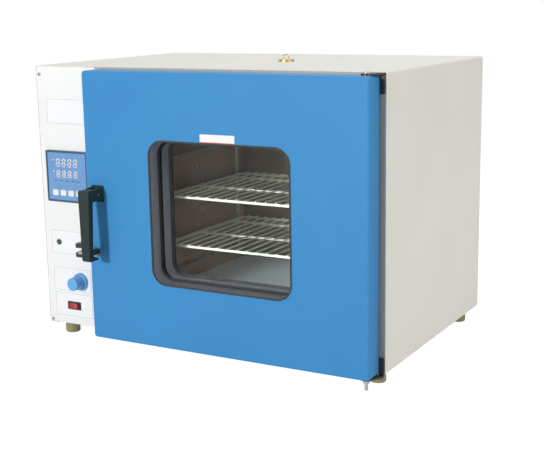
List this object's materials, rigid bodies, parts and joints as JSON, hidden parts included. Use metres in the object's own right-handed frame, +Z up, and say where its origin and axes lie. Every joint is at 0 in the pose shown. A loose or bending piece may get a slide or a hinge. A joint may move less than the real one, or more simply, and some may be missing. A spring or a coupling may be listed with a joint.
{
  "type": "laboratory drying oven",
  "caption": "Bench-top forced-air drying oven with a hinged windowed door, lever handle, wire shelves and a side strip of controls.",
  "frame": {"origin": "middle of the bounding box at the level of the feet's soles", "axes": "+Z up, the door faces -Y, +X towards the hinge side"},
  "size_m": [0.7, 0.5668, 0.526],
  "materials": {
    "cabinet_paint": "powder coat, fine texture",
    "door_paint": "smooth blue enamel",
    "black_paint": "black enamel on steel",
    "stainless": "polished stainless sheet",
    "galvanised": "plain zinc-coated sheet",
    "shelf_wire": "bright electropolished wire",
    "steel": "turned steel",
    "aluminium": "plain aluminium",
    "wool": "mineral wool",
    "glass": "clear toughened glass",
    "black_rubber": "black rubber",
    "silicone": "silicone",
    "black_plastic": "moulded black plastic",
    "slate_plastic": "dark slate moulding",
    "controller_blue": "printed blue membrane",
    "display": "tinted window",
    "white_plastic": "white key caps",
    "led_red": "small lamps, unlit",
    "lamp_green": "green lens, unlit",
    "plate_white": "thin white plate",
    "knob_blue": "blue moulding",
    "rocker_red": "translucent red",
    "brass": "plain brass",
    "feet_tan": "tan plastic"
  },
  "bodies": {
    "cabinet": {"air_inlet_duct": "stainless", "base_pan": "galvanised", "chamber_liner": "stainless", "control_panel": "cabinet_paint", "controller_bezel": "slate_plastic", "controller_body": "black_plastic", "controller_face": "controller_blue", "cord_gland": "black_plastic", "display_window": "display", "duct_panel": "stainless", "fan_motor": "aluminium", "feet": "feet_tan", "floor_plate": "stainless", "front_frame": "cabinet_paint", "heater_element": "steel", "hinge_brackets": "black_paint", "hinge_pins": "steel", "insulation_slabs": "wool", "keeper": "black_plastic", "keeper_pin": "steel", "lamp_holder": "black_plastic", "lamp_lens": "lamp_green", "legend_plates": "plate_white", "outer_shell": "cabinet_paint", "panel_screws": "steel", "partition": "galvanised", "rear_cover": "cabinet_paint", "relay": "aluminium", "rocker_frame": "black_plastic", "shelf_racks": "stainless", "status_leds": "led_red", "temperature_probe": "stainless", "vent_base": "brass"},
    "door": {"door_outer_panel": "door_paint", "door_inner_panel": "stainless", "window_channel": "stainless", "door_insulation": "wool", "window_glass_outer": "glass", "window_glass_inner": "glass", "window_gasket": "black_rubber", "door_seal": "silicone", "hinge_bushes": "brass", "handle_base": "black_plastic", "lever_pin": "steel"},
    "handle": {"handle_lever": "black_plastic", "latch_finger": "steel"},
    "roller": {"keeper_roller": "steel"},
    "shelf_lower": {"wire_shelf_lower": "shelf_wire"},
    "shelf_upper": {"wire_shelf_upper": "shelf_wire"},
    "fan": {"fan_shaft": "steel", "fan_impeller": "galvanised"},
    "vent": {"vent_disc": "brass"},
    "key_a": {"key_1": "white_plastic"},
    "key_b": {"key_2": "white_plastic"},
    "key_c": {"key_3": "white_plastic"},
    "key_d": {"key_4": "white_plastic"},
    "damper": {"damper_knob": "knob_blue", "damper_shaft": "steel", "damper_flap": "galvanised"},
    "rocker": {"power_rocker": "rocker_red"}
  },
  "joints": [
    {"name": "door_swing", "type": "hinge", "parent": "cabinet", "child": "door", "pos_m": [0.326, -0.216, 0.26625], "axis": [0, 0, 1], "range_deg": [0, 120]},
    {"name": "handle_pull", "type": "hinge", "parent": "door", "child": "handle", "pos_m": [-0.1855, -0.2495, 0.293], "axis": [-1, 0, 0], "range_deg": [0, 18], "stiffness_Nm_per_rad": 0.6},
    {"name": "roller_spin", "type": "hinge", "parent": "cabinet", "child": "roller", "pos_m": [-0.23, -0.23, 0.184], "axis": [0, 0, 1], "continuous": true},
    {"name": "lower_shelf_slide", "type": "slide", "parent": "cabinet", "child": "shelf_lower", "axis": [0, -1, 0], "range_m": [0, 0.01]},
    {"name": "upper_shelf_slide", "type": "slide", "parent": "cabinet", "child": "shelf_upper", "axis": [0, -1, 0], "range_m": [0, 0.01]},
    {"name": "fan_spin", "type": "hinge", "parent": "cabinet", "child": "fan", "pos_m": [-0.14, -0.0025, 0.266], "axis": [1, 0, 0], "continuous": true},
    {"name": "vent_turn", "type": "hinge", "parent": "cabinet", "child": "vent", "pos_m": [0.0564, 0.026, 0.515], "axis": [0, 0, 1], "range_deg": [0, 90]},
    {"name": "damper_turn", "type": "hinge", "parent": "cabinet", "child": "damper", "pos_m": [-0.2698, -0.1925, 0.1122], "axis": [0, 1, 0], "range_deg": [0, 90]},
    {"name": "power_rock", "type": "hinge", "parent": "cabinet", "child": "rocker", "pos_m": [-0.2885, -0.1895, 0.0628], "axis": [0, 0, 1], "range_deg": [0, 16]},
    {"name": "key_a_press", "type": "slide", "parent": "cabinet", "child": "key_a", "axis": [0, 1, 0], "range_m": [0, 0.0005], "stiffness_N_per_m": 250},
    {"name": "key_b_press", "type": "slide", "parent": "cabinet", "child": "key_b", "axis": [0, 1, 0], "range_m": [0, 0.0005], "stiffness_N_per_m": 250},
    {"name": "key_c_press", "type": "slide", "parent": "cabinet", "child": "key_c", "axis": [0, 1, 0], "range_m": [0, 0.0005], "stiffness_N_per_m": 250},
    {"name": "key_d_press", "type": "slide", "parent": "cabinet", "child": "key_d", "axis": [0, 1, 0], "range_m": [0, 0.0005], "stiffness_N_per_m": 250}
  ]
}
